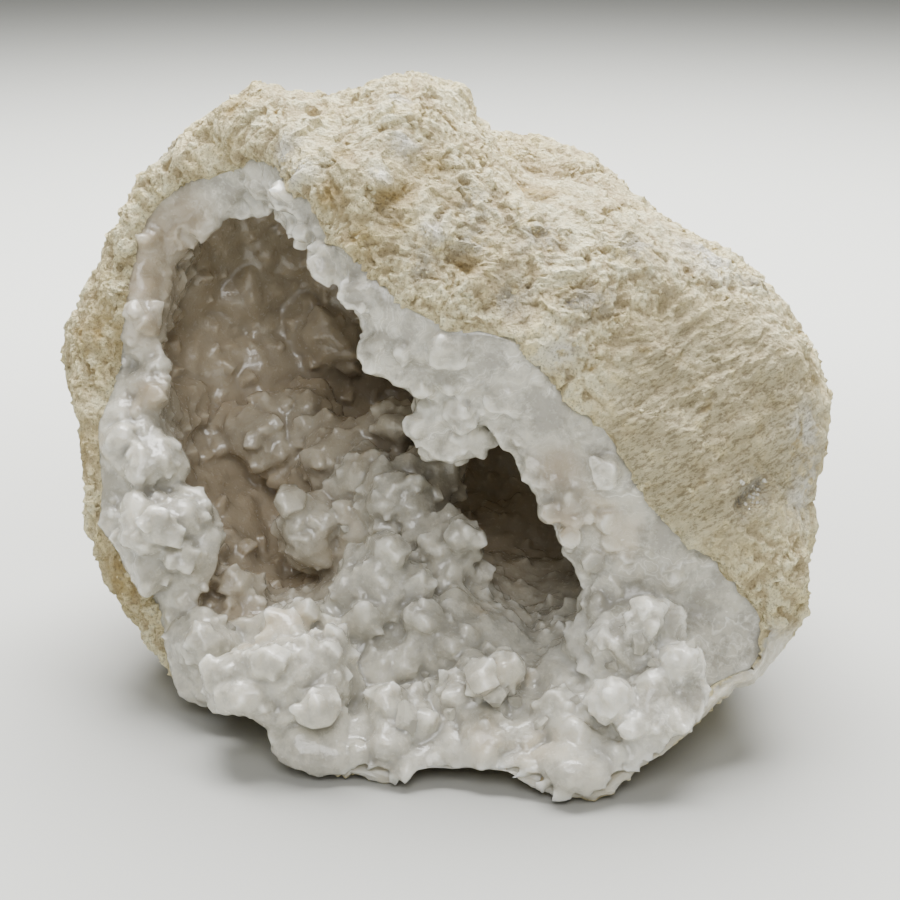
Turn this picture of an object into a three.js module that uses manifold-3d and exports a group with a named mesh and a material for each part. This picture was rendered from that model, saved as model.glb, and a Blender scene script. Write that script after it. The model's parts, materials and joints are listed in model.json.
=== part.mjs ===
// Quartz geode: a hollow, egg-shaped stone broken open at its front left.
// A chalky limestone rind wraps a thick crust of white quartz, and the crust's crystals line the hollow.
// Millimetres, +Z up. The origin is at the middle of the stone's base. The broken edge faces -Y.
import * as THREE from 'three';
import { mergeVertices } from 'three/addons/utils/BufferGeometryUtils.js';
import Module from 'manifold-3d';

// The outlines are given as they look from one viewpoint: how far across to the right and how far up a
// point is seen, at the scale of the stone's middle, and how deep it lies behind that middle.
const viewDistance = 300;
const viewTilt = THREE.MathUtils.degToRad(18);
const mouthCentre = { across: -15, up: -1.5 };

// One row for each spoke round the mouth, anticlockwise from the right:
// [angle in degrees, mouth edge radius and depth, rind edge radius and depth, girth radius and depth].
// The girth is the widest line of the stone, or a line just behind the rind edge where that is the widest.
const spokes = [
  [0, 23, -21, 40.5, -29, 71, -12],
  [7, 22, -21, 38, -30, 71.5, -12],
  [14, 18, -20, 32.5, -30, 71, -12],
  [23, 15, -20, 31, -30.5, 66, -11],
  [32, 13, -21, 30.5, -31, 60, -10],
  [40, 12.5, -22, 27.5, -31, 54.5, -9],
  [50, 12, -23, 24, -31, 50, -6],
  [60, 12, -23, 23, -30.5, 48, -3],
  [68, 12.5, -23, 23, -30, 51.5, 0],
  [75, 14, -22.5, 24, -29.5, 56.5, 1],
  [82, 17, -22, 25.5, -29, 56, 1],
  [90, 23, -21, 28.5, -27.5, 53.5, 2],
  [96, 27, -20, 32, -25, 52.5, 3],
  [101, 28.5, -18, 37, -22, 53.5, 4],
  [104.5, 33, -13, 43, -17, 54.5, 5],
  [108, 37, -3, 46, -11, 54.5, 6],
  [115, 39.5, 2, 46.5, -5, 54, 7],
  [123, 39.5, 4, 47.5, -1, 52.5, 9],
  [131, 40, 5, 48, 2, 50.5, 11],
  [139, 37.5, 5, 44, 2, 48, 12],
  [148, 34, 4, 40.5, 2, 46, 13],
  [158, 30, 3, 38, 2, 46, 13],
  [168, 29, 2, 37.5, 1, 42.5, 11],
  [178, 29, 1, 38, 1, 40, 10],
  [188, 26, -1, 39, 0, 39.5, 9],
  [198, 23.5, -3, 40, -1, 42, 7],
  [208, 23, -4, 38, -2, 42.5, 6],
  [218, 25, -4, 38, -2, 41.5, 6],
  [227, 34, -2, 41.5, -3, 42, 6],
  [235, 30, -2, 45, -4, 43, 5],
  [242, 26.5, -3, 43.5, -5, 41, 4],
  [248, 25, -8, 41, -12, 39, -2],
  [253, 24, -12, 42.5, -17, 38, -7],
  [260, 26, -13, 47, -20, 41, -11],
  [268, 34, -13, 49, -23, 43, -14],
  [276, 39, -14, 51, -24.5, 44.5, -15],
  [284, 40, -14, 51, -25, 43.5, -16],
  [291, 39, -14, 51.5, -25, 43.5, -16],
  [298, 39, -14, 58, -28, 51, -19],
  [304, 40, -14, 65, -30, 58.5, -21],
  [311, 42, -15, 65, -28.5, 60, -19],
  [319, 43.5, -16, 65.5, -26, 63, -16],
  [326, 41, -18, 66, -24, 65, -14],
  [332, 39, -20, 70, -21, 68.5, -11],
  [338, 30, -22, 67.5, -21, 71, -12],
  [343, 28.5, -22, 55.5, -24.5, 71.5, -13],
  [348, 27, -22, 47, -27, 71.5, -13],
  [354, 25, -21.5, 43.5, -28.5, 71, -12.5],
];

// World place of the table under the stone, of the line down the middle of the stone, and of its back.
const tableZ = -38;
const axisX = 3;
const axisZ = 5;
const backY = 50;

// Rind, and how far back from its thin edge it takes its full thickness
const rindThickness = 5;
const rindEdgeThickness = 1.2;
const rindThinning = 14;

// Seam between rind and crust, at the edge and deeper in, and the shortest edge that cuts may leave
const seam = 0.3;
const deepSeam = 1.2;
const weldDistance = 0.18;

// Crust, and the hollow in it, which is widest a little behind the mouth
const wallThickness = 13.5;
const floorThickness = 12;
const bellyShare = 0.45;
const bellySetback = 8;
const wallRelief = { height: 1.3, grain: 3.1 };
const mouthDepth = -12;
const outletLength = 40;
const fractureBulge = 1.2;
const fractureRelief = { height: 0.7, grain: 1.9 };

// Mesh
const curveTension = 0.4;
const segments = 64;
const frontSteps = 6;
const backSteps = 6;
const fractureSteps = 3;
const hiddenStep = 2;
const cavitySteps = 7;

// Back of the stone: how boxy it is, and the even oval that its outline turns into
const boxiness = 0.7;
const backHalfWidth = 52;
const backHalfHeight = 43;
const eveningShare = 0.6;

// Unevenness of the rind ahead of the girth and behind it, and its finer part
const frontRelief = 1;
const backRelief = 2.2;
const coarseGrain = 6;
const fineRelief = 0.7;
const fineGrain = 2.7;
const calmRings = 3;

// Lumps (positive height) and dents of the rind: [across, up, depth, reach, height].
const rindLumps = [
  // knob on top, the dip beside it, the dome and the ledge in front of it
  [0.8, 51, 2, 6, 3],
  [8, 45, -3, 5, -1.8],
  [-9, 48, -6, 5, 1.4],
  [-19, 41, -20, 6, 2.2],
  [-12, 39, -24, 5, 2.4],
  [-5, 34, -28, 6, -1.4],
  [3, 34, -24, 6, 1.2],
  [-31, 48, 8, 6, 1.5],
  // broken dips below the ledge
  [11, 22, -31, 6, -1.4],
  [22, 24, -27, 6, 1.4],
  [14, 36, -10, 6, 0.8],
  // ridge on the right, the hollow facet below it and the lip of the facet
  [30, 25, -18, 6, 1.6],
  [44, 21, -8, 7, 1.8],
  [36, 8, -22, 9, -2.6],
  [45, -2, -17, 9, -2.6],
  [36, -10, -27, 6, 1.6],
  [47, -20, -20, 6, 1.4],
  // left side, back and underside
  [-42, 12, 16, 8, 1.5],
  [-46, -8, 14, 7, -1.5],
  [25, 18, 44, 14, 4],
  [-24, 4, 42, 15, 3],
  [12, -14, 44, 10, -3],
  [-12, 34, 34, 12, 3],
  [44, -12, 22, 12, 2.5],
  [34, 34, 18, 10, -2],
  [-21, -25, 21, 15, 6],
];
// The lump that the stone stands on
const foot = { x: 6, y: 8, z: -34, reach: 23, height: 8 };

// Quartz clusters grown out of the crust: [across, up, depth, radius].
const clusters = [
  // ridge through the middle of the hollow, from the floor up to the back wall
  [-4, -26, 6, 11],
  [-9, -15, 13, 11],
  [-15, -6, 20, 10.5],
  [-24, 0, 28, 10],
  [-9.7, -22.5, -5, 7.5],
  [-0.8, -18, 0, 6.8],
  [-7.5, -9.7, 4, 6.5],
  [-21, -13.5, 8, 5.7],
  [-12.8, -5.2, 9, 5],
  [-3, -5.2, 7, 5.5],
  [-7.5, 1.5, 13, 4.5],
  [-27.8, 0, 22, 5.5],
  [-22.5, 4.2, 24, 4.5],
  [-32.7, 1.2, 25, 4.5],
  // lobe hanging behind the lip
  [0, 2, -16, 6],
  // back wall
  [-33, 22.5, 33, 8],
  [-18, 14.2, 35, 7.5],
  [-36.8, 9.8, 31, 6.5],
  // floor of the hollow on the left
  [-25, -28, 10, 7.5],
  [-32, -25, 4, 6],
  // left wall
  [-45, -4.2, 0, 5],
  [-42.8, -15, -2, 8],
  [-36.3, -31.8, -3, 6.5],
  // front sill and its lower edge
  [-29, -38, -19, 7],
  [-20, -46, -19, 6],
  [-9, -49, -20, 5],
  [6, -48, -22, 6],
  [19, -49, -25, 6.5],
  [31, -41, -25, 7],
  [-22.5, -36, -17, 9],
  [-7.5, -43, -19, 6.5],
  [4.5, -40, -18, 6.5],
  [16, -43, -21, 6.5],
  [28.5, -31.5, -19, 9],
  [-3, -31.5, -8, 7.5],
  [9, -31.5, -6, 5],
];
const tipReach = 1.14;
const dipReach = 0.86;
const clusterRoughness = 0.12;
const clusterGrain = 0.4;

// Quartz points that stand out: [across, up, depth, size].
const largePoints = [
  [-5, -39, -27, 1.4],
  [5, -36, -25, 1.3],
  [8, -34.5, -22, 1.1],
  [-4, -34, -20, 1],
  [-12, -42, -26, 1.1],
  [-20, -40, -26, 1.2],
  [-27, -33, -24, 1.1],
  [20, -33, -24, 1.1],
  [30, -28, -27, 1.3],
  [35, -34, -27, 1.2],
  [24, -39, -29, 1.1],
  [-9, -17, -10, 1.1],
  [2, -15, -6, 1.2],
  [-15, -12, 1, 1],
  [-23, -9, 4, 1],
  [-3, -27, -12, 1.2],
  [-13, -27, -12, 1.2],
  [2, 3, -22, 1],
  [-43, -13, -9, 1.3],
  [-37, -31, -9, 1.2],
];
const spreadSteps = [0.618034, 0.754878, 0.56984];
const pointRadius = 2.4;
const pointLength = 5.2;
const facePointCount = 30;

const wasm = await Module();
wasm.setup();

// World direction that leads away from the viewpoint, and the one that looks like up from there.
const away = new THREE.Vector3(0, Math.cos(viewTilt), -Math.sin(viewTilt));
const upward = new THREE.Vector3(0, Math.sin(viewTilt), Math.cos(viewTilt));

// World place of a point seen at (across, up) and lying at a depth.
function seen(across, up, depth) {
  const spread = 1 + depth / viewDistance;
  return new THREE.Vector3(across * spread, 0, 0)
    .addScaledVector(upward, up * spread)
    .addScaledVector(away, depth);
}

// Closed curve through one pair of columns of the spokes.
function ringCurve(radiusColumn) {
  const points = spokes.map((spoke) => {
    const angle = THREE.MathUtils.degToRad(spoke[0]);
    const radius = spoke[radiusColumn];
    const across = mouthCentre.across + radius * Math.cos(angle);
    const up = mouthCentre.up + radius * Math.sin(angle);
    return seen(across, up, spoke[radiusColumn + 1]);
  });
  return new THREE.CatmullRomCurve3(points, true, 'catmullrom', curveTension);
}

// One ring of points, one for each segment, from a function of the place round the mouth.
function ring(place) {
  return Array.from({ length: segments }, (_, i) => place(i / segments));
}

// Smooth, repeatable unevenness between -1 and 1.
function unevenness(p, grain) {
  const a = Math.sin(p.x / grain + 1.3 * Math.sin(p.y / grain + 0.7));
  const b = Math.sin(p.y / grain + 1.7 * Math.sin(p.z / grain + 2.1));
  const c = Math.sin(p.z / grain + 1.5 * Math.sin(p.x / grain + 4.2));
  return (a + b + c) / 3;
}

// A quarter of an ellipse from start, where it runs across the view, to end, where it runs away.
function shoulder(start, end, share) {
  const step = end.clone().sub(start);
  const depth = away.clone().multiplyScalar(step.dot(away));
  const turn = (share * Math.PI) / 2;
  return start
    .clone()
    .addScaledVector(step.sub(depth), Math.sin(turn))
    .addScaledVector(depth, 1 - Math.cos(turn));
}

// A boxy quarter of an ellipse from the girth back to the pole behind it, evened out on the way.
function backOf(girthPoint, pole, share, inset = 0) {
  const centre = new THREE.Vector3(pole.x, girthPoint.y, pole.z);
  const out = girthPoint.clone().sub(centre);
  const angle = Math.atan2(out.z, out.x);
  const even = new THREE.Vector3(
    (backHalfWidth - inset) * Math.cos(angle),
    0,
    (backHalfHeight - inset) * Math.sin(angle),
  );
  const evenness = THREE.MathUtils.smoothstep(share, 0, eveningShare);
  const turn = (share * Math.PI) / 2;
  return centre
    .clone()
    .addScaledVector(out.lerp(even, evenness), Math.cos(turn) ** boxiness)
    .addScaledVector(pole.clone().sub(centre), Math.sin(turn) ** boxiness);
}

// Normals of a stack of rings, facing away from the inside of the stone.
function ringNormals(rings) {
  const at = (j, i) => rings[THREE.MathUtils.clamp(j, 0, rings.length - 1)][(i + segments) % segments];
  return rings.map((points, j) =>
    points.map((_, i) => {
      const round = at(j, i + 1).clone().sub(at(j, i - 1));
      const along = at(j + 1, i).clone().sub(at(j - 1, i));
      return along.cross(round).normalize();
    }),
  );
}

// Closed body from a stack of rings whose first and last rings are single points.
function lathed(rings) {
  const profile = rings.map((_, j) => {
    const turn = (j / (rings.length - 1)) * Math.PI;
    return new THREE.Vector2(Math.sin(turn), -Math.cos(turn));
  });
  const geometry = new THREE.LatheGeometry(profile, segments);
  const position = geometry.getAttribute('position');
  for (let i = 0; i <= segments; i++)
    rings.forEach((points, j) => {
      const p = points[i % segments];
      position.setXYZ(i * rings.length + j, p.x, p.y, p.z);
    });
  return geometry;
}

function solid(geometry) {
  const bare = geometry.clone();
  bare.deleteAttribute('normal');
  bare.deleteAttribute('uv');
  const merged = mergeVertices(bare, 1e-4);
  return new wasm.Manifold(
    new wasm.Mesh({
      numProp: 3,
      vertProperties: new Float32Array(merged.getAttribute('position').array),
      triVerts: new Uint32Array(merged.index.array),
    }),
  );
}

function geometryOf(manifold) {
  const mesh = manifold.getMesh();
  const geometry = new THREE.BufferGeometry();
  geometry.setAttribute('position', new THREE.BufferAttribute(new Float32Array(mesh.vertProperties), 3));
  geometry.setIndex(new THREE.BufferAttribute(new Uint32Array(mesh.triVerts), 1));
  return geometry;
}

// The largest closed surface of a solid, which leaves out pockets sealed between its lumps.
function outerBody(manifold) {
  return manifold.decompose().reduce((a, b) => (b.volume() > a.volume() ? b : a));
}

// Welds the vertices that cuts left closer together than a distance, and drops the faces this flattens.
function welded(manifold, distance) {
  const merged = mergeVertices(geometryOf(manifold), distance);
  const faces = [];
  for (let i = 0; i < merged.index.count; i += 3) {
    const [a, b, c] = merged.index.array.slice(i, i + 3);
    if (a !== b && b !== c && c !== a) faces.push(a, b, c);
  }
  merged.setIndex(faces);
  return solid(merged);
}

// Rings of the stone's outside, from the rind edge over the girth to the back.
function outsideRings(rindEdge, girth) {
  const pole = new THREE.Vector3(axisX, backY, axisZ);
  const front = Array.from({ length: frontSteps }, (_, k) =>
    ring((u) => shoulder(rindEdge.getPoint(u), girth.getPoint(u), k / frontSteps)),
  );
  const back = Array.from({ length: backSteps + 1 }, (_, k) =>
    ring((u) => backOf(girth.getPoint(u), pole, k / backSteps)),
  );
  return [...front, ...back];
}

// Lumps, dents and unevenness of the rind, and the flat spot under its foot.
function weathered(rings) {
  const lumps = rindLumps.map(([across, up, depth, reach, height]) => ({
    centre: seen(across, up, depth),
    reach,
    height,
  }));
  lumps.push({ centre: new THREE.Vector3(foot.x, foot.y, foot.z), reach: foot.reach, height: foot.height });
  const normals = ringNormals(rings);
  const lastRing = rings.length - 1;
  return rings.map((points, j) =>
    points.map((p, i) => {
      const rise = lumps.reduce(
        (sum, lump) => sum + lump.height * Math.exp(-p.distanceToSquared(lump.centre) / lump.reach ** 2),
        0,
      );
      const coarse = (j > frontSteps ? backRelief : frontRelief) * unevenness(p, coarseGrain);
      const roughness = j === lastRing ? 0 : coarse + fineRelief * unevenness(p, fineGrain);
      const normal = j === lastRing ? new THREE.Vector3(0, 1, 0) : normals[j][i];
      const moved = p.clone().addScaledVector(normal, Math.min(1, j / calmRings) * (rise + roughness));
      moved.z = Math.max(moved.z, tableZ);
      return moved;
    }),
  );
}

// Rings a distance inside some of the outside rings; the distance grows from the rind edge backwards.
function insideOf(rings, normals, depthAt) {
  const lastRing = rings.length - 1;
  const inner = rings.map((points, j) =>
    points.map((p, i) => {
      const fromEdge = p.distanceTo(rings[0][i]);
      const thinning = THREE.MathUtils.smoothstep(fromEdge, 0, rindThinning);
      const normal = j === lastRing ? new THREE.Vector3(0, 1, 0) : normals[j][i];
      return p.clone().addScaledVector(normal, -depthAt(thinning));
    }),
  );
  return inner.filter((_, j) => j % hiddenStep === 0 || j === lastRing);
}

// Broken face of the quartz wall, from under the rind edge to the mouth edge and on to the mouth centre.
function frontRings(start, mouthEdge) {
  const centre = seen(mouthCentre.across, mouthCentre.up, mouthDepth);
  const face = Array.from({ length: fractureSteps }, (_, k) => {
    const share = (k + 1) / fractureSteps;
    return start.map((p, i) => {
      const q = p.clone().lerp(mouthEdge.getPoint(i / segments), share);
      const relief = fractureRelief.height * unevenness(q, fractureRelief.grain);
      const bulge = fractureBulge * Math.sin(share * Math.PI) + relief;
      return q.addScaledVector(away, -bulge);
    });
  });
  const cap = [0.5, 1].map((share) => face[fractureSteps - 1].map((p) => p.clone().lerp(centre, share)));
  return [...face, ...cap];
}

// Rings that lead from an edge straight out of the stone towards the viewpoint and close there.
function outletRings(edge) {
  const centre = seen(mouthCentre.across, mouthCentre.up, mouthDepth).addScaledVector(away, -outletLength);
  return [
    ring((u) => edge.getPoint(u).addScaledVector(away, -outletLength)),
    ring(() => centre.clone()),
  ];
}

// Wall of the hollow, from the mouth edge round to the back.
function cavityRings(mouthEdge, girth) {
  const pole = new THREE.Vector3(axisX, backY - wallThickness, axisZ);
  const belly = (u) => {
    const p = girth.getPoint(u);
    const inward = new THREE.Vector3(axisX - p.x, 0, axisZ - p.z).normalize();
    const place = p.addScaledVector(inward, wallThickness);
    place.y = Math.max(place.y, mouthEdge.getPoint(u).y) + bellySetback;
    return place;
  };
  return Array.from({ length: cavitySteps + 1 }, (_, k) => {
    const share = k / cavitySteps;
    const last = k === cavitySteps;
    return ring((u) => {
      const p =
        share < bellyShare
          ? shoulder(mouthEdge.getPoint(u), belly(u), share / bellyShare)
          : backOf(belly(u), pole, (share - bellyShare) / (1 - bellyShare), wallThickness);
      const swell = last ? 0 : wallRelief.height * unevenness(p, wallRelief.grain);
      p.addScaledVector(away, -swell).addScaledVector(upward, swell);
      p.z = Math.max(p.z, tableZ + floorThickness);
      return p;
    });
  });
}

// A burr of twelve blunt pyramids grown together, with dips between them.
function clusterGeometry([across, up, depth, radius], n) {
  const geometry = new THREE.IcosahedronGeometry(1, 1);
  const tips = new THREE.IcosahedronGeometry(1, 0).getAttribute('position');
  const centre = seen(across, up, depth);
  const turn = new THREE.Euler(1.3 * n, 2.1 * n, 0.7 * n);
  const position = geometry.getAttribute('position');
  const p = new THREE.Vector3();
  const tip = new THREE.Vector3();
  for (let i = 0; i < position.count; i++) {
    p.fromBufferAttribute(position, i);
    let atTip = false;
    for (let k = 0; k < tips.count; k++) atTip ||= p.distanceTo(tip.fromBufferAttribute(tips, k)) < 0.1;
    const variation = clusterRoughness * unevenness(p.clone().addScalar(n), clusterGrain);
    const height = (atTip ? tipReach : dipReach) + variation;
    p.applyEuler(turn).multiplyScalar(radius * height).add(centre);
    position.setXYZ(i, p.x, p.y, p.z);
  }
  return geometry;
}

// A stubby six-sided quartz point with its foot at a place, leaning along a direction.
function quartzPoint(place, direction, size) {
  const radius = pointRadius * size;
  const length = pointLength * size;
  const geometry = new THREE.LatheGeometry(
    [
      new THREE.Vector2(0, -0.5 * length),
      new THREE.Vector2(radius, 0),
      new THREE.Vector2(0, 0.55 * length),
    ],
    6,
  );
  const standing = new THREE.Vector3(0, 1, 0);
  const lean = new THREE.Quaternion().setFromUnitVectors(standing, direction.clone().normalize());
  geometry.applyQuaternion(lean);
  return geometry.translate(place.x, place.y, place.z);
}

// Shares of one that a counter spreads evenly and without repeating, for three choices that go together.
function spread(n, choice) {
  return (n * spreadSteps[choice]) % 1;
}

// Larger points that stand out in front of the clusters.
function standingPoints() {
  return largePoints.map(([across, up, depth, size], n) => {
    const direction = away
      .clone()
      .multiplyScalar(-1)
      .add(new THREE.Vector3(spread(n + 1, 1) - 0.5, 0, spread(n + 1, 2)));
    return quartzPoint(seen(across, up, depth), direction, size);
  });
}

// Points standing on the broken face, between the mouth edge and the rind edge.
function facePoints(mouthEdge, rindEdge) {
  return Array.from({ length: facePointCount }, (_, n) => {
    const u = (n + 0.5) / facePointCount;
    const place = mouthEdge.getPoint(u).lerp(rindEdge.getPoint(u), 0.1 + 0.7 * spread(n, 0));
    const direction = away
      .clone()
      .multiplyScalar(-1)
      .add(new THREE.Vector3(spread(n, 1) - 0.5, 0, spread(n, 2) - 0.2));
    return quartzPoint(place, direction, 0.8 + 0.6 * spread(n, 2));
  });
}

const mouthEdge = ringCurve(1);
const rindEdge = ringCurve(3);
const girth = ringCurve(5);

const outside = weathered(outsideRings(rindEdge, girth));
const normals = ringNormals(outside);
const thicknessAt = (t) => THREE.MathUtils.lerp(rindEdgeThickness, rindThickness, t);
const crustDepthAt = (t) => thicknessAt(t) + THREE.MathUtils.lerp(seam, deepSeam, t);
const rindInside = insideOf(outside, normals, thicknessAt);
const crustOutside = insideOf(outside, normals, crustDepthAt);
const growthLimit = insideOf(outside, normals, (t) => crustDepthAt(t) + 0.5 * seam);

const rind = solid(lathed([...outside].reverse().concat(rindInside)));
const body = solid(lathed([...[...crustOutside].reverse(), ...frontRings(crustOutside[0], mouthEdge)]));
const hollow = solid(lathed([...cavityRings(mouthEdge, girth)].reverse().concat(outletRings(mouthEdge))));
const reach = solid(lathed([...growthLimit].reverse().concat(outletRings(rindEdge))));
const growths = [...clusters.map(clusterGeometry), ...standingPoints(), ...facePoints(mouthEdge, rindEdge)]
  .map(solid)
  .reduce((whole, piece) => whole.add(piece));
const cutCrust = body.subtract(hollow).add(growths.intersect(reach));
const crust = outerBody(welded(cutCrust, weldDistance));

const rindMesh = new THREE.Mesh(
  geometryOf(rind),
  new THREE.MeshStandardMaterial({ color: 0xd9cda6, roughness: 0.95, metalness: 0 }),
);
rindMesh.name = 'rind';
const crustMesh = new THREE.Mesh(
  geometryOf(crust),
  new THREE.MeshStandardMaterial({ color: 0xe8e6e0, roughness: 0.35, metalness: 0 }),
);
crustMesh.name = 'quartz_crust';

const geode = new THREE.Group();
geode.add(rindMesh, crustMesh);
const extent = new THREE.Box3().setFromObject(geode);
geode.position.set(
  -(extent.min.x + extent.max.x) / 2,
  -(extent.min.y + extent.max.y) / 2,
  -extent.min.z,
);

export default geode;
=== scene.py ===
import json
import math
import random

import bmesh
import bpy
from mathutils import Euler, Matrix, Vector, noise
from mathutils.bvhtree import BVHTree
from mathutils.kdtree import KDTree

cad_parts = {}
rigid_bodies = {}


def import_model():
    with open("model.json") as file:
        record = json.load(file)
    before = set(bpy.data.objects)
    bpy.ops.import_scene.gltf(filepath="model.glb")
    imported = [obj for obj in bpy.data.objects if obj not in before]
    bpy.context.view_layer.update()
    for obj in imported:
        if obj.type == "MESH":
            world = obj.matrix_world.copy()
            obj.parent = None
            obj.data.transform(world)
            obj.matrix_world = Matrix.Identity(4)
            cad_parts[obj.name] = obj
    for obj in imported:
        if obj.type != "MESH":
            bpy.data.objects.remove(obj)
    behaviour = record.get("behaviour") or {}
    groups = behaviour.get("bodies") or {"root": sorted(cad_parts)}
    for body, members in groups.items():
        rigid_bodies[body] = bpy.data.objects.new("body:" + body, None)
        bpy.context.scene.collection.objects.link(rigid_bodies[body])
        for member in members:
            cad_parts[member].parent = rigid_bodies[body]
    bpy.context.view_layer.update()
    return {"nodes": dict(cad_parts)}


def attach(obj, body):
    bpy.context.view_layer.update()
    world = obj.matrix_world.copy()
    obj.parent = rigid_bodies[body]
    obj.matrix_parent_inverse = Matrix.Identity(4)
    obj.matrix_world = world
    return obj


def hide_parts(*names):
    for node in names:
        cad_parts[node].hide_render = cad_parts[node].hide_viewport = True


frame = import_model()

mm = 0.001
# Without a seed of its own, noise_vector takes one from the clock and every run differs.
noise_seed = 4
noise.seed_set(noise_seed)


# The camera looks down on the stone by 18 degrees from 0.3 m, through a lens that gives
# 0.15 mm of stone to a pixel of the 900 by 900 picture. Places on the stone are named by the
# column and row where this camera sees them.
view_tilt = math.radians(18)
view_distance = 300 * mm
aim = Vector((3.04, -4.26, 36.57)) * mm
lens = 80
film = 36
picture = 900
forward = Vector((0, math.cos(view_tilt), -math.sin(view_tilt)))
upward = Vector((0, math.sin(view_tilt), math.cos(view_tilt)))
eye = aim - forward * view_distance
pixel = film / lens / picture


def seen_at(place):
    """The column and row of the picture where a place is seen."""
    ray = place - eye
    reach = ray.dot(forward) * pixel
    return picture / 2 + ray.x / reach, picture / 2 - ray.dot(upward) / reach


def sight(column, row):
    """The direction from the camera through a point of the picture."""
    across = (column - picture / 2) * pixel
    up = (picture / 2 - row) * pixel
    return (forward + Vector((across, 0, 0)) + upward * up).normalized()


camera = bpy.data.objects.new("camera", bpy.data.cameras.new("camera"))
camera.data.lens = lens
camera.data.sensor_width = film
camera.data.clip_start = 10 * mm
camera.location = eye
camera.rotation_euler = (math.pi / 2 - view_tilt, 0, 0)
bpy.context.scene.collection.objects.link(camera)
bpy.context.scene.camera = camera


# The rind is the stone that the hollow grew in: a chalky, cream limestone, broken off at the
# front and weathered everywhere else into plates, crumbs and pits. One facet on the right is
# flatter than the rest, with low parallel ripples.
rind_cell = 0.46 * mm
rind_faces_kept = 195000
touching = 3 * mm
seam_reach = 1.6
inner_share = 0.06
underside = 3.4
ripple_slope = math.radians(27)
facet_middle = (712, 425)
facet_reach = (112, 120)
fade_reach = 2.5
# Each dent and knob has the column and row where it is seen, its radius and its depth in mm.
dents = (
    (378, 197, 1.3, 0.9), (392, 195, 1.2, 1.1), (404, 191, 1.2, 1.0), (416, 187, 1.0, 0.6),
    (350, 150, 1.6, 0.9), (330, 190, 2.2, 0.8), (465, 262, 1.5, 1.3), (452, 250, 1.2, 0.9),
    (390, 212, 1.2, 0.5), (520, 178, 2.2, 1.2), (535, 190, 1.6, 1.0), (415, 165, 1.3, 0.5),
    (510, 292, 3.2, 0.8), (596, 300, 3.0, 0.7), (746, 500, 1.9, 1.3), (760, 488, 1.9, 1.3),
    (660, 300, 2.4, 0.9),
    (540, 165, 5.0, 1.2), (590, 182, 5.0, 1.5),
)
knobs = (
    (388, 116, 3.6, 0.9), (460, 96, 4.0, 0.7), (405, 148, 1.0, 0.4), (382, 168, 0.8, 0.4),
    (310, 160, 3.0, 0.8), (300, 178, 2.4, 0.8), (545, 340, 2.6, 0.8), (640, 470, 2.4, 0.6),
    (575, 390, 2.4, 0.7), (690, 540, 2.6, 0.7), (386, 180, 0.8, 0.45),
)
# Each patch of colour has the column and row where it is seen and its radius in mm.
patches = {
    "white": ((405, 146, 1.6), (383, 176, 1.1), (300, 172, 2.0), (708, 258, 4.0), (280, 150, 2.4),
              (430, 230, 1.6), (560, 352, 2.2), (395, 100, 1.6), (806, 430, 3.5), (808, 500, 3.5)),
    "ochre": ((392, 192, 2.6), (408, 187, 2.2), (236, 112, 3.2), (465, 263, 2.0), (340, 150, 2.6),
              (325, 195, 2.6), (105, 330, 5.0), (85, 330, 4.0), (452, 200, 2.2), (535, 185, 3.2),
              (360, 240, 2.2), (120, 580, 5.0), (100, 450, 4.5), (430, 160, 2.4)),
    "grey": ((510, 290, 3.2), (592, 300, 3.0), (475, 205, 3.4), (420, 262, 2.6), (540, 235, 4.0),
             (755, 492, 2.6), (640, 250, 3.5), (470, 240, 2.5), (812, 470, 4.0)),
    "dark": ((745, 502, 1.1), (758, 490, 1.1), (760, 282, 1.6), (772, 288, 1.4), (748, 276, 1.2),
             (165, 155, 2.2), (175, 150, 1.5), (575, 305, 1.2)),
}


def copied(node):
    """A CAD node's mesh with its loose triangles merged."""
    bm = bmesh.new()
    bm.from_mesh(frame["nodes"][node].data)
    bmesh.ops.remove_doubles(bm, verts=bm.verts, dist=1e-6)
    return bm


def piece_of(name, bm):
    """A new object in the scene with a bmesh's shape."""
    mesh = bpy.data.meshes.new(name)
    bm.to_mesh(mesh)
    piece = bpy.data.objects.new(name, mesh)
    bpy.context.scene.collection.objects.link(piece)
    return piece


def applied(piece):
    """Turns the piece's modifiers into its mesh."""
    bpy.context.view_layer.update()
    shaped = piece.evaluated_get(bpy.context.evaluated_depsgraph_get())
    mesh = bpy.data.meshes.new_from_object(shaped)
    piece.modifiers.clear()
    piece.data = mesh
    mesh.materials.clear()
    mesh.name = piece.name


def remeshed(piece, cell, melt=0, settling=3):
    """An even skin of small faces over the piece, after rounding its facets if melt is given."""
    if melt:
        rounding = piece.modifiers.new("rounding", "SUBSURF")
        rounding.levels = melt
        rounding.render_levels = melt
    skin = piece.modifiers.new("skin", "REMESH")
    skin.mode = "VOXEL"
    skin.voxel_size = cell
    settle = piece.modifiers.new("settle", "SMOOTH")
    settle.factor = 0.5
    settle.iterations = settling
    applied(piece)


def thinned(piece, hidden, share):
    """Leaves only a share of the faces between hidden points."""
    group = piece.vertex_groups.new(name="hidden")
    group.add(hidden, 1, "REPLACE")
    points = len(piece.data.vertices)
    thinning = piece.modifiers.new("thinning", "DECIMATE")
    thinning.ratio = 1 - (1 - share) * len(hidden) / points
    thinning.vertex_group = group.name
    applied(piece)
    piece.vertex_groups.clear()


def reduced(piece, faces):
    """Leaves about a number of triangles."""
    fewer = piece.modifiers.new("fewer", "DECIMATE")
    fewer.ratio = min(1, faces / sum(len(face.vertices) - 2 for face in piece.data.polygons))
    applied(piece)


def kept_above(piece, lowest):
    """Lifts the points below a height up to it."""
    for point in piece.data.vertices:
        point.co.z = max(lowest, point.co.z)


def moved_to(piece, places, lowest):
    """Moves the piece's points to places in mm, none of them below a height."""
    for point, place in zip(piece.data.vertices, places):
        point.co = place * mm
    kept_above(piece, lowest)
    piece.data.update()


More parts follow.
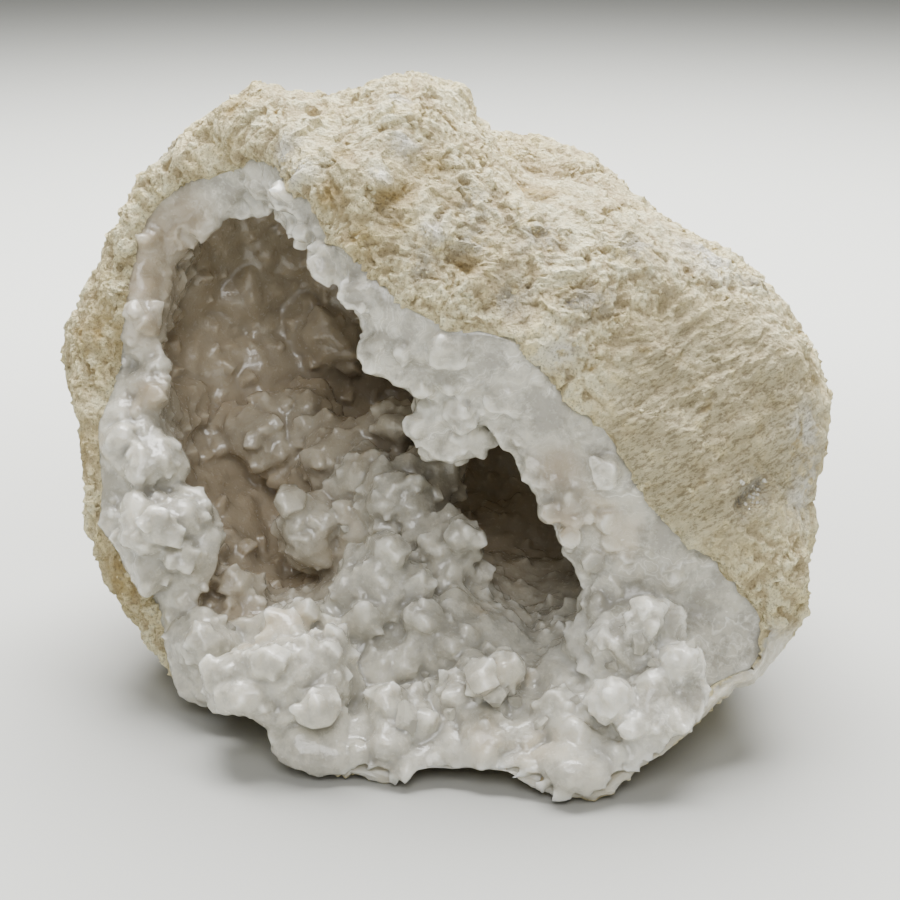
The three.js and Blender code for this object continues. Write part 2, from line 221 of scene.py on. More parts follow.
def covered(piece, tree):
    """The points of a piece whose way out is barred close by."""
    found = []
    for point in piece.data.vertices:
        if tree.ray_cast(point.co + point.normal * 1e-5, point.normal, touching)[0]:
            found.append(point.index)
    return found


def step_up(value, low, high):
    """0 below low, 1 above high and smooth between them."""
    share = min(1, max(0, (value - low) / (high - low)))
    return share * share * (3 - 2 * share)


def scatter_value(place, spread):
    """A value from -1 to 1 that is the same all over one cell around a scattered point."""
    return noise.noise(noise.voronoi(place / spread)[1][0] * 4.7)


def drift(place):
    """A sideways wander in mm that rind and quartz share, so that their seam stays closed."""
    return noise.noise_vector(place / 7) * 1.1 + noise.noise_vector(place / 2.6) * 0.45


facet_turn = (
    Matrix.Rotation(math.pi / 2 - view_tilt, 3, "X") @ Matrix.Rotation(ripple_slope, 3, "Z")
).to_euler()


def facet_share(place, normal):
    """How far a place belongs to the flatter facet on the right."""
    column, row = seen_at(place)
    across = (column - facet_middle[0]) / facet_reach[0]
    up = (row - facet_middle[1]) / facet_reach[1]
    return step_up(1.25 - math.hypot(across, up), 0, 0.5) * step_up(-normal.dot(forward), 0, 0.3)


def crumbling(place):
    """How fast the stone weathers at a place, from -1 to 1."""
    return noise.noise(place / 9 + Vector((7, 3, 1)))


def weathering(place, facet):
    """How far the weathered face stands out at a place, and how deep its recesses are, in mm."""
    wide = noise.fractal(place / 13, 1, 2, 2)
    bent = place + noise.noise_vector(place / 4) * 2.4
    plate = scatter_value(Vector((bent.x, bent.y, bent.z * 1.6)), 4.2)
    chip = scatter_value(bent, 1.7)
    crumb = 0.5 - noise.voronoi(bent / 1.15)[0][0]
    pit = max(0, noise.noise(place / 2.0 + Vector((2, 8, 5))) - 0.28)
    across = place.dot(upward) * math.cos(ripple_slope) - place.x * math.sin(ripple_slope)
    along = place.x * math.cos(ripple_slope) + place.dot(upward) * math.sin(ripple_slope)
    ripple = noise.fractal(Vector((along / 5, across / 1.1, place.dot(forward) / 4)), 0.8, 2, 3)
    rock = 1 - 0.85 * facet
    rough = 0.45 + 0.8 * step_up(crumbling(place), -0.5, 0.2)
    fine = 0.42 * chip * rough * rock + 0.62 * crumb * rough * rock
    fine += 0.36 * ripple * (0.2 + facet) - 1.9 * pit * rough * rock
    fine += 0.2 * noise.fractal(place / 0.8, 1, 2, 2)
    return 0.9 * wide * (1 - 0.5 * facet) + 0.8 * plate * rock + fine, fine


def on_surface(tree, column, row):
    """The place where the camera sees a point of the picture on the piece behind the tree."""
    return tree.ray_cast(eye, sight(column, row))[0]


def values_on(piece, name, values):
    """Stores a value for each point of a piece, for its finish to read."""
    piece.data.attributes.new(name, "FLOAT", "POINT").data.foreach_set("value", values)


crust_faces = copied("quartz_crust")
crust_tree = BVHTree.FromBMesh(crust_faces)
rind_faces = copied("rind")
rind_tree = BVHTree.FromBMesh(rind_faces)

rind = piece_of("rind_limestone", rind_faces)
remeshed(rind, rind_cell, melt=1)
thinned(rind, covered(rind, crust_tree), inner_share)


def marks_on(tree, marks):
    """The marks that the camera sees on a piece, as places with the rest of their numbers."""
    found = [(on_surface(tree, column, row), rest) for column, row, *rest in marks]
    return [(place, rest) for place, rest in found if place]


def quartz_edge(place, normal, gap):
    """How far a place is on the low front edge of the rind, which quartz has grown over."""
    column, row = seen_at(place)
    low = step_up(row, 590, 680) * step_up(column, 280, 340)
    return low * step_up(-normal.dot(forward), 0, 0.3) * step_up(-gap, -9 * mm, -6 * mm)


def notch(place):
    """How far a place is under the raised stretch of the front edge."""
    return step_up(10 - abs(place.x - 5.5), 0, 5) * step_up(-6 - place.y, 0, 8)


def nearness(place, middle, radius, wobble=1):
    """1 at the middle of a mark, fading to 0 a few of its radii, in mm, away."""
    far = (place - middle).length / mm * wobble
    return math.exp(-((far / radius) ** 2)) if far < fade_reach * radius else 0


def undercut(place):
    """How far the underside is hollowed behind the front edge at a place, in mm."""
    return notch(place) * max(0, underside - place.z)


bumps = [(place, radius, -depth) for place, (radius, depth) in marks_on(rind_tree, dents)]
bumps += [(place, radius, height) for place, (radius, height) in marks_on(rind_tree, knobs)]
spots = {
    colour: [(place, radius) for place, (radius,) in marks_on(rind_tree, marks)]
    for colour, marks in patches.items()
}
inner = set(covered(rind, crust_tree))
outwards = [point.normal.copy() for point in rind.data.vertices]
overgrown = []
relief = []
tints = {colour: [] for colour in spots}
moved = []
for point in rind.data.vertices:
    place = point.co / mm
    gap = crust_tree.find_nearest(point.co)[3]
    overgrown.append(quartz_edge(point.co, point.normal, gap))
    if point.index in inner:
        lift, fine = min(seam_reach, gap / mm + 0.25), 0
    else:
        lift, fine = weathering(place, facet_share(point.co, point.normal))
        for middle, radius, height in bumps:
            near = nearness(point.co, middle, radius)
            lift += height * near
            fine += 0.4 * height * near
    lift *= (1 - 0.8 * overgrown[-1]) * (1 - notch(place) * step_up(8 - place.z, 0, 4))
    relief.append(fine)
    wobble = 1 + 0.5 * noise.noise(place / 1.6)
    for colour, marks in spots.items():
        tints[colour].append(
            max(nearness(point.co, middle, radius, wobble) for middle, radius in marks))
    moved.append(place + drift(place) + point.normal * lift + Vector((0, 0, undercut(place))))
moved_to(rind, moved, 0)
values_on(rind, "relief", relief)
values_on(rind, "quartz", overgrown)
values_on(rind, "facet", [
    facet_share(point.co, outward) for point, outward in zip(rind.data.vertices, outwards)])
for colour in spots:
    values_on(rind, colour, tints[colour])
reduced(rind, rind_faces_kept)
kept_above(rind, 0)


class Strand:
    """A socket in a finish's node tree. Sums on strands add the Math nodes that they need."""

    def __init__(self, tree, socket=None):
        self.tree = tree
        self.socket = socket

    def node(self, kind, settings, sockets, out=0):
        """Any node, with its settings made first and then its sockets' values or links."""
        made = self.tree.nodes.new(kind)
        for key, value in settings.items():
            if key == "stops":
                self.ramp(made.color_ramp, value)
            else:
                setattr(made, key, value)
        for key, value in sockets.items():
            if isinstance(value, Strand):
                self.tree.links.new(value.socket, made.inputs[key])
            else:
                made.inputs[key].default_value = value
        return Strand(self.tree, made.outputs[out] if made.outputs else None)

    def ramp(self, ramp, stops):
        """Gives a colour ramp its stops."""
        for extra in range(len(stops) - 2):
            ramp.elements.new(0.5)
        for element, (where, colour) in zip(ramp.elements, stops):
            element.position = where
            element.color = colour

    def math(self, operation, one, other):
        """A Math node of two values."""
        return self.node("ShaderNodeMath", {"operation": operation}, {0: one, 1: other})

    def __add__(self, other):
        return self.math("ADD", self, other)

    def __radd__(self, other):
        return self.math("ADD", other, self)

    def __sub__(self, other):
        return self.math("SUBTRACT", self, other)

    def __rsub__(self, other):
        return self.math("SUBTRACT", other, self)

    def __mul__(self, other):
        return self.math("MULTIPLY", self, other)

    def __rmul__(self, other):
        return self.math("MULTIPLY", other, self)

    def between(self, low, high):
        """0 where the value is below low, 1 where it is above high."""
        settings = {"interpolation_type": "SMOOTHSTEP"}
        return self.node("ShaderNodeMapRange", settings, {0: self, 1: low, 2: high})


def blended(share, first, second):
    """The first colour, with a share of the second mixed in."""
    return share.node("ShaderNodeMix", {"data_type": "RGBA"}, {0: share, 6: first, 7: second}, 2)


def speckle(place, size, detail=2, rough=0.5):
    """A noise from 0 to 1 with features of a size in mm."""
    sockets = {"Vector": place, "Scale": 1 / (size * mm), "Detail": detail, "Roughness": rough}
    return place.node("ShaderNodeTexNoise", {}, sockets)


def finish_named(name):
    """A new material, its shader, a strand to grow nodes from and the object's own places."""
    material = bpy.data.materials.new(name)
    material.use_nodes = True
    tree = material.node_tree
    start = Strand(tree)
    place = start.node("ShaderNodeTexCoord", {}, {}, 3)
    return material, tree, tree.nodes["Principled BSDF"], start, place


def attribute(start, name):
    """A value stored on the piece's points."""
    return start.node("ShaderNodeAttribute", {"attribute_name": name}, {}, 2)


def feed(tree, shader, sockets):
    """Links strands to the shader's sockets and sets the plain values."""
    for key, value in sockets.items():
        if isinstance(value, Strand):
            tree.links.new(value.socket, shader.inputs[key])
        else:
            shader.inputs[key].default_value = value


cream = (0.95, 0.83, 0.46, 1)
pale_cream = (1.0, 0.94, 0.64, 1)
shaded_khaki = (0.60, 0.525, 0.33, 1)
shaded_buff = (0.56, 0.46, 0.27, 1)
gap_shade_brown = (0.22, 0.17, 0.10, 1)
milk = (0.57, 0.547, 0.465, 1)
ochre = (0.40, 0.28, 0.095, 1)
chalk = (0.93, 0.90, 0.78, 1)
quartz_grey = (0.50, 0.465, 0.37, 1)
slate = (0.12, 0.12, 0.13, 1)

limestone, tree, shader, start, place = finish_named("limestone")
depth = attribute(start, "relief")
coarse = speckle(place, 9, 3)
middling = speckle(place, 2.2, 4, 0.6)
grain = speckle(place, 0.55, 3, 0.65)
stain = speckle(place, 5, 4, 0.6)
leaning = start.node("ShaderNodeMapping", {"vector_type": "TEXTURE"}, {
    "Vector": place, "Rotation": facet_turn, "Scale": (2.6, 1, 1.4)})
facet = attribute(start, "facet")
flakes = speckle(leaning, 0.5, 5, 0.78)
grit = speckle(place, 0.5, 4, 0.8)
# The gaps between grains and flakes, low in the bump, are painted dark brown: painted shade in the
# recesses.
shaded_gaps = (1 - flakes.between(0.42, 0.52)) * facet + (1 - grit.between(0.39, 0.49)) * (1 - facet)
# Low places of the relief are painted buff, and raised grains cream and pale cream: partly the
# stone's own tone, partly painted shade in the recesses and painted light on the raised grains.
raised = (depth * 1.3 + (grain - 0.5) * 1.2 + 0.5).between(0.05, 0.95)
colour = blended(raised, shaded_buff, cream)
colour = blended((coarse + middling - 0.5).between(0.3, 0.65) * raised, colour, pale_cream)
# The facet on the right is painted khaki, darker than the rest: partly its own duller tone, partly
# painted shade for a face that turns away from the window.
colour = blended(facet * middling.between(0.2, 0.55) * 0.85, colour, shaded_khaki)
colour = blended(stain.between(0.58, 0.72) * (1 - raised) * 0.7, colour, ochre)
colour = blended(attribute(start, "ochre") * middling.between(0.3, 0.6) * 0.85, colour, ochre)
colour = blended(attribute(start, "grey") * middling.between(0.35, 0.6) * 0.9, colour, quartz_grey)
colour = blended(attribute(start, "white") * middling.between(0.3, 0.55), colour, chalk)
colour = blended(attribute(start, "dark") * grain.between(0.3, 0.6) * 0.9, colour, slate)
colour = blended(shaded_gaps * (0.58 + facet * 0.08), colour, gap_shade_brown)
bump = start.node("ShaderNodeBump", {}, {
    "Strength": 1, "Distance": 0.6 * mm,
    "Height": grain + middling * 1.5 + grit * (1.3 - facet) + flakes * facet * 1.6})
feed(tree, shader, {"Base Color": colour, "Roughness": 0.92, "Normal": bump,
                    "Specular IOR Level": 0.25})
film = Strand(tree, tree.nodes.new("ShaderNodeBsdfPrincipled").outputs[0])
feed(tree, film.socket.node, {
    "Base Color": blended(middling.between(0.35, 0.6), milk, quartz_grey), "Roughness": 0.3,
    "Subsurface Weight": 0.9, "Subsurface Scale": 2.5 * mm, "Subsurface Radius": (1, 0.93, 0.82)})
both = start.node("ShaderNodeMixShader", {}, {
    0: attribute(start, "quartz").between(0.2, 0.7), 1: Strand(tree, shader.outputs[0]), 2: film})
tree.links.new(both.socket, tree.nodes["Material Output"].inputs["Surface"])

rind.data.materials.append(limestone)
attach(rind, "root")
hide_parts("rind")


# Crumbs of the same limestone cling to its face wherever it weathers fastest, most of all on
# the ledge at the upper left and along the broken edge.
crumb_kinds = 6
crumb_count = 8200
crumb_sizes = (0.27, 0.9)
lowest_crumb = 1.2 * mm
bare_sole = 2
bare_front = 7


def crumb(rng):
    """A small angular grain about 2 units wide."""
    bm = bmesh.new()
    bmesh.ops.create_icosphere(bm, subdivisions=1, radius=1)
    for point in bm.verts:
        point.co *= rng.uniform(0.65, 1.1)
        point.co.z *= 0.8
    return bm


def sampled(piece, count, share, outwards, rng):
    """Seeded places on a piece with their ways out, more of them where the share is high."""
    mesh = piece.data
    mesh.calc_loop_triangles()
    corners = [triangle.vertices for triangle in mesh.loop_triangles]
    weights = [
        triangle.area * (share[a] + share[b] + share[c])
        for triangle, (a, b, c) in zip(mesh.loop_triangles, corners)
    ]
    found = []
    for index in rng.choices(range(len(corners)), weights=weights, k=count):
        a, b, c = (mesh.vertices[corner] for corner in corners[index])
        one, two = sorted((rng.random(), rng.random()))
        place = a.co * one + b.co * (two - one) + c.co * (1 - two)
        normal = (outwards[a.index] + outwards[b.index] + outwards[c.index]).normalized()
        found.append((place, normal, a.index))
    return found


def turned_to(axis, lean, rng):
    """A turn that stands a crystal or crumb along an axis, give or take a lean."""
    wander = Vector((rng.gauss(0, lean), rng.gauss(0, lean), rng.gauss(0, lean)))
    stand = (axis + wander).normalized().to_track_quat("Z", "Y")
    return (stand @ Euler((0, 0, rng.uniform(0, math.tau))).to_quaternion()).to_euler()


def bed_of(name, plants):
    """A piece with a point for each plant, which holds its kind, turn and size."""
    bed = bpy.data.meshes.new(name)
    bed.from_pydata([place for _, place, _, _ in plants], [], [])
    kinds, _, turns, sizes = zip(*plants)
    bed.attributes.new("kind", "INT", "POINT").data.foreach_set("value", kinds)
    for key, vectors in (("turn", turns), ("size", sizes)):
        numbers = [number for vector in vectors for number in vector]
        bed.attributes.new(key, "FLOAT_VECTOR", "POINT").data.foreach_set("vector", numbers)
    piece = bpy.data.objects.new(name, bed)
    bpy.context.scene.collection.objects.link(piece)
    return piece


def shelf_of(name, kinds):
    """A collection that isn't in the scene, with an object for each kind of shape."""
    shelf = bpy.data.collections.new(name + "_kinds")
    for number, bm in enumerate(kinds):
        mesh = bpy.data.meshes.new(f"{name}_kind_{number:02d}")
        bm.to_mesh(mesh)
        shelf.objects.link(bpy.data.objects.new(mesh.name, mesh))
    return shelf


def planted(name, kinds, plants):
    """One mesh of many small shapes. A plant has its kind, place, turn and size."""
    piece = bed_of(name, plants)
    shelf = shelf_of(name, kinds)
    tree = bpy.data.node_groups.new(name, "GeometryNodeTree")
    tree.interface.new_socket("Geometry", in_out="INPUT", socket_type="NodeSocketGeometry")
    tree.interface.new_socket("Geometry", in_out="OUTPUT", socket_type="NodeSocketGeometry")
    start = Strand(tree)
    bed_in = start.node("NodeGroupInput", {}, {})
    shapes = start.node("GeometryNodeCollectionInfo", {}, {
        "Collection": shelf, "Separate Children": True, "Reset Children": True})
    kind, turn, size = (
        start.node("GeometryNodeInputNamedAttribute", {"data_type": form}, {"Name": key})
        for key, form in (("kind", "INT"), ("turn", "FLOAT_VECTOR"), ("size", "FLOAT_VECTOR"))
    )
    standing = start.node("GeometryNodeInstanceOnPoints", {}, {
        "Points": bed_in, "Instance": shapes, "Pick Instance": True,
        "Instance Index": kind, "Rotation": turn, "Scale": size})
    whole = start.node("GeometryNodeRealizeInstances", {}, {"Geometry": standing})
    start.node("NodeGroupOutput", {}, {"Geometry": whole})
    piece.modifiers.new("plants", "NODES").node_group = tree
    applied(piece)
    for shape in list(shelf.objects):
        bpy.data.objects.remove(shape)
    bpy.data.collections.remove(shelf)
    return piece


rng = random.Random(11)
inner = set(covered(rind, crust_tree))
loose = []
for point in rind.data.vertices:
    place = point.co / mm
    rough = step_up(crumbling(place), -0.35, 0.35)
    facet = facet_share(point.co, point.normal)
    grown_over = quartz_edge(point.co, point.normal, crust_tree.find_nearest(point.co)[3])
    sole = bare_front if place.y < -12 else bare_sole
    bare = point.index in inner or place.z < sole or grown_over > 0.2
    loose.append(0 if bare else 0.08 + rough * (1 - facet))
plants = []
outwards = [point.normal.copy() for point in rind.data.vertices]
for place, normal, _ in sampled(rind, crumb_count, loose, outwards, rng):
    size = mm * crumb_sizes[0] * (crumb_sizes[1] / crumb_sizes[0]) ** (rng.random() ** 2)
    if place.z > lowest_crumb:
        plants.append((
            rng.randrange(crumb_kinds), place - normal * size * 0.3, turned_to(normal, 0.3, rng),
            Vector((size, size * rng.uniform(0.7, 1), size * rng.uniform(0.5, 0.9)))))
crumbs = planted("limestone_crumbs", [crumb(rng) for _ in range(crumb_kinds)], plants)
crumbs.data.materials.append(limestone)
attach(crumbs, "root")


# The quartz lines the rind as one milky crust. Where the stone was broken its edge shows as a
# wide band with a feathery grain. Inside, it swells into knobs and blocks, and crystals grow
# out of it all over, merged with it into one skin.
crust_cell = 0.62 * mm
druse_cell = 0.35 * mm
crust_faces_kept = 197000
crust_foot = 0.3 * mm
skirt_swell = 1.5
hollow_middle = (350, 450)
band_from = math.radians(-54)
band_to = math.radians(158)
sky_rays = 96
clear_grey = (0.36, 0.342, 0.288, 1)
shadow_brown = (0.40, 0.327, 0.228, 1)
frost_white = (0.82, 0.808, 0.735, 1)
warm_tan = (0.68, 0.57, 0.40, 1)
crystal_kinds = 10
rhomb_slope = math.radians(51.8)
# How far crystals and teeth keep from the rind, and how low they may stand.
druse_gap = 1.5 * mm
teeth_gap = 1.2 * mm
lowest_crystal = 6.5 * mm
lowest_tooth = 10 * mm
# Each druse has how many places are tried, its smallest and largest radius in mm, its least and
# greatest depth, its spacing, and how little and how far its crystals sink.
druses = (
    (2800, 1.3, 2.9, 0.0, 0.25, 0.7, 0.25, 0.95),
    (4200, 1.3, 2.7, 0.12, 1.01, 0.8, 0.3, 1.1),
    (1800, 0.6, 1.0, 0.0, 0.6, 1.0, 0.0, 0.6),
)
# Along the inner lip of the broken edge stand small teeth: how many places are tried, the
# smallest and largest radius in mm and the spacing.
teeth = (2600, 0.4, 0.8, 0.7)
# The places where crystals grow largest, by column, row and reach in the picture.
coarse_spots = ((300, 700, 70), (430, 700, 75), (520, 700, 60), (400, 570, 70), (300, 530, 50),
                (470, 550, 50), (620, 620, 45), (200, 620, 30))
# The places where the crust is painted in a brown shade, by column, row, radius and how far it
# falls back there, in mm.
painted_shade_spots = ((150, 275, 8, 0), (165, 235, 6, 0), (172, 340, 5, 0), (152, 330, 4, 0),
               (190, 212, 4, 0), (150, 395, 3, 0), (560, 470, 3, 0), (563, 520, 3, 0),
               (218, 592, 4, 3.5), (242, 604, 3.5, 3), (300, 575, 4, 1.5))


def open_rays(count):
    """Directions spread evenly over a sphere."""
    golden = math.pi * (3 - math.sqrt(5))
    for number in range(count):
        height = 1 - 2 * (number + 0.5) / count
        ring = math.sqrt(1 - height * height)
        yield Vector((ring * math.cos(golden * number), ring * math.sin(golden * number), height))


def shelter(place, normal, rays):
    """The share of the directions above a place that meet the stone."""
    start = place + normal * 0.3 * mm
    tried = [ray for ray in rays if ray.dot(normal) > 0.1]
    met = [ray for ray in tried if crust_tree.ray_cast(start, ray)[0]]
    return len(met) / len(tried)


def evened(faces, values, rounds):
    """The values of a piece's points, each shared with its neighbours' a few times."""
    for _ in range(rounds):
        values = [
            (2 * values[point.index]
             + sum(values[edge.other_vert(point).index] for edge in point.link_edges))
            / (2 + len(point.link_edges))
            for point in faces.verts
        ]
    return values


def shared_by_nearest(place, faces, tree, values):
    """A value at a place, blended from the corners of the nearest face."""
    corners = faces.faces[tree.find_nearest(place)[2]].verts
    weights = [1 / ((corner.co - place).length + 0.2 * mm) for corner in corners]
    total = sum(weight * values[corner.index] for weight, corner in zip(weights, corners))
    return total / sum(weights)


def band_share(place, normal):
    """How far a place belongs to the broken edge of the crust."""
    column, row = seen_at(place)
    angle = math.atan2(hollow_middle[1] - row, column - hollow_middle[0])
    turn = (angle - band_from) % math.tau
    inside = step_up(turn, 0, 0.25) * step_up(band_to - band_from - turn, 0, 0.25)
    return inside * step_up(-normal.dot(forward), 0.15, 0.5)


def crystal_blocks(place, spread, rise):
    """The height of a face made of tilted flats, one for each scattered point."""
    _, cells = noise.voronoi(place / spread)
    tilt = noise.noise_vector(cells[0] * 3.1)
    return rise * tilt.dot(place / spread - cells[0])


def knobs_of(place, spread):
    """The height, up to 1, of round knobs grown about scattered points."""
    far = noise.voronoi(place / spread)[0][0] / 0.85
    return math.sqrt(max(0, 1 - far * far))


def growth(place, band, column_way):
    """How far the quartz stands out at a place, in mm."""
    bent = place + noise.noise_vector(place / 4) * 1.2
    blocks = 1.9 * knobs_of(bent, 8.0) + 1.2 * knobs_of(bent + Vector((3, 1, 7)), 4.6) - 1.8
    blocks += crystal_blocks(bent, 3.0, 0.75) + crystal_blocks(bent, 1.5, 0.15)
    side = place - column_way * place.dot(column_way) * 0.85
    grainy = noise.fractal(side / 1.0, 1, 2, 3)
    broken = 0.5 * noise.noise(place / 6) + crystal_blocks(bent, 5.0, 0.9) + 0.14 * grainy
    broken += crystal_blocks(bent, 1.8, 0.25)
    lip = 4 * band * (1 - band)
    return broken * band + blocks * (1 - band) + 0.75 * lip * grainy


def crystal(rng):
    """A six-sided prism one unit in radius, from 1.2 below its foot to a tip 1.4 above it."""
    bm = bmesh.new()
    bmesh.ops.create_cone(
        bm, cap_ends=True, cap_tris=False, segments=6, radius1=0.9, radius2=1, depth=3.2,
        matrix=Matrix.Translation((0, 0, 0.4)))
    for number in range(6):
        angle = math.radians(60 * number + 30)
        out = Vector((math.cos(angle), math.sin(angle), 0)) * math.sin(rhomb_slope)
        face = out + Vector((0, 0, math.cos(rhomb_slope)))
        back_off = rng.uniform(0, 0.12) if number % 2 else rng.uniform(0.05, 0.45)
        cut = bmesh.ops.bisect_plane(
            bm, geom=bm.verts[:] + bm.edges[:] + bm.faces[:], dist=1e-5,
            plane_co=Vector((0, 0, 1.4)) + face * (back_off - 0.2), plane_no=face,
            clear_outer=True)
        edges = [item for item in cut["geom_cut"] if isinstance(item, bmesh.types.BMEdge)]
        bmesh.ops.edgenet_fill(bm, edges=edges)
    bmesh.ops.recalc_face_normals(bm, faces=bm.faces)
    return bm


def spaced(candidates, room):
    """The candidates that keep their room from those before them. One starts with its radius."""
    kept = []
    grid = {}
    cell = 2 * room * max(radius for radius, *_ in candidates)
    for candidate in candidates:
        radius, place = candidate[:2]
        key = tuple(int(math.floor(number / cell)) for number in place)
        near = [
            other
            for i in (-1, 0, 1) for j in (-1, 0, 1) for k in (-1, 0, 1)
            for other in grid.get((key[0] + i, key[1] + j, key[2] + k), ())
        ]
        if all((place - other).length > room * (radius + wide) for other, wide in near):
            grid.setdefault(key, []).append((place, radius))
            kept.append(candidate)
    return kept


def joined(piece, other):
    """Adds the other piece's mesh to the piece."""
    bm = bmesh.new()
    bm.from_mesh(piece.data)
    bm.from_mesh(other.data)
    bm.to_mesh(piece.data)
    bpy.data.objects.remove(other)


crust = piece_of("quartz_crust_body", crust_faces)
remeshed(crust, crust_cell)
thinned(crust, covered(crust, rind_tree), inner_share)
hidden = set(covered(crust, rind_tree))
rays = list(open_rays(sky_rays))
crust_faces.verts.index_update()
crust_faces.faces.ensure_lookup_table()
sheltered = evened(
    crust_faces, [shelter(point.co, point.normal, rays) for point in crust_faces.verts], 4)
growing = [point.normal.copy() for point in crust.data.vertices]
hollow_axis = aim + Vector((-15, 0, 0)) * mm
painted_shade_marks = marks_on(crust_tree, painted_shade_spots)
depths = []
bands = []
turns = []
spans = []
painted_shades = []
moved = []
for point in crust.data.vertices:
    place = point.co / mm
    roofed = shared_by_nearest(point.co, crust_faces, crust_tree, sheltered)
    depth = step_up(roofed, 0.55, 0.95) * step_up(place.dot(forward), -28, 6)
    band = band_share(point.co, point.normal) * (1 - step_up(roofed, 0.5, 0.72))
    shades = [
        (math.exp(-((point.co - middle).length / mm / radius) ** 2), sink)
        for middle, (radius, sink) in painted_shade_marks
    ]
    painted_shades.append(max(near for near, sink in shades))
    fallen = max(near * sink for near, sink in shades)
    inwards = point.co - hollow_axis
    inwards -= forward * inwards.dot(forward)
    spans.append(inwards.length)
    turns.append(math.atan2(inwards.x, inwards.dot(upward)) * 30 * mm)
    inwards.normalize()
    if point.index in hidden:
        lift = 0
    else:
        skirt = step_up(9 - place.z, 0, 5) * step_up(-point.normal.dot(forward), -0.2, 0.3)
        lift = growth(place, band, inwards) * step_up(place.z, 1, 8)
        lift += skirt_swell * skirt * (1 - notch(place)) - fallen
    depths.append(depth)
    bands.append(band)
    moved.append(place + drift(place) + point.normal * lift + Vector((0, 0, undercut(place))))
moved_to(crust, moved, crust_foot)

rng = random.Random(21)
druse_pieces = []
for tries, smallest, largest, lowest, highest, room, risen, sunk in druses:
    share = [
        0 if index in hidden or not lowest <= depth < highest else 1 - band
        for index, (band, depth) in enumerate(zip(bands, depths))
    ]
    candidates = []
    for place, normal, near in sampled(crust, tries, share, growing, rng):
        coarse = 0.6 + 0.4 * max(
            math.exp(-math.dist(seen_at(place), (column, row)) ** 2 / reach ** 2)
            for column, row, reach in coarse_spots)
        coarse = max(coarse, 0.85 * step_up(depths[near], 0.1, 0.3))
        coarse *= 0.8 + 0.4 * step_up(noise.noise(place / (7 * mm)), -0.3, 0.3)
        radius = mm * coarse * smallest * (largest / smallest) ** (rng.random() ** 1.7)
        if rind_tree.find_nearest(place)[3] > druse_gap:
            candidates.append((radius, place, normal, near))
    candidates.sort(key=lambda candidate: -candidate[0])
    plants = []
    for radius, place, normal, near in spaced(candidates, room):
        stretch = radius * rng.uniform(0.85, 1.2)
        foot = place - normal * stretch * rng.uniform(risen, sunk)
        if foot.z > lowest_crystal + stretch * 1.2:
            plants.append((
                rng.randrange(crystal_kinds), foot, turned_to(normal, 0.26, rng),
                Vector((radius, radius * rng.uniform(0.85, 1), stretch))))
    druse_pieces.append(planted(
        "druse", [crystal(rng) for _ in range(crystal_kinds)], plants))
tries, smallest, largest, room = teeth
share = [
    0 if index in hidden else max(0, 4 * band * (1 - band) - 0.3)
    for index, band in enumerate(bands)
]
candidates = [
    (mm * rng.uniform(smallest, largest), place, normal, near)
    for place, normal, near in sampled(crust, tries, share, growing, rng)
    if rind_tree.find_nearest(place)[3] > teeth_gap and place.z > lowest_tooth
]
plants = []
for radius, place, normal, near in spaced(candidates, room):
    plants.append((
        rng.randrange(crystal_kinds), place - normal * radius * rng.uniform(0, 0.8),
        turned_to(normal, 0.3, rng), Vector((radius, radius, radius))))
druse_pieces.append(planted("teeth", [crystal(rng) for _ in range(crystal_kinds)], plants))
for druse in druse_pieces:
    joined(crust, druse)

grown = KDTree(len(moved))
for number, place in enumerate(moved):
    grown.insert(place * mm, number)
grown.balance()
remeshed(crust, druse_cell, settling=1)
thinned(crust, covered(crust, rind_tree), inner_share)
reduced(crust, crust_faces_kept)
kept_above(crust, crust_foot)
crust.data.polygons.foreach_set("use_smooth", [True] * len(crust.data.polygons))
sources = [grown.find(point.co)[1] for point in crust.data.vertices]
for key, values in (
    ("depth", depths), ("band", bands), ("turn", turns), ("span", spans), ("dusk", painted_shades),
):
    values_on(crust, key, [values[source] for source in sources])


def ridges(piece, rounds):
    """How sharply each point stands out of its neighbours, in turns per mm, evened a little."""
    bm = bmesh.new()
    bm.from_mesh(piece.data)
    rises = []
    for point in bm.verts:
        others = [edge.other_vert(point).co for edge in point.link_edges]
        middle = sum(others, Vector()) / len(others)
        reach = sum((other - point.co).length_squared for other in others) / len(others)
        rises.append((point.co - middle).dot(point.normal) / reach * mm * 2)
    return evened(bm, rises, rounds)


values_on(crust, "ridge", ridges(crust, 3))

quartz, tree, shader, start, place = finish_named("quartz")
deep = attribute(start, "depth")
band = attribute(start, "band")
across = start.node("ShaderNodeCombineXYZ", {}, {
    "X": attribute(start, "turn"), "Y": attribute(start, "span") * 0.16})
feather = speckle(across + speckle(place, 3) * 2.5 * mm, 0.45, 5, 0.7)
wisps = speckle(place, 5, 5, 0.66)
clouds = speckle(place, 16, 3)
frost = speckle(place, 0.8, 3, 0.6)
sparkle = speckle(place, 0.3, 2)
ridge = attribute(start, "ridge")
colour = blended(wisps.between(0.40, 0.60) * (0.75 + band * 0.25), milk, clear_grey)
colour = blended(clouds.between(0.58, 0.72) * 0.45, colour, warm_tan)
feathered = band * feather.between(0.5, 0.64) * wisps.between(0.6, 0.4)
colour = blended(feathered * 0.8, colour, frost_white)
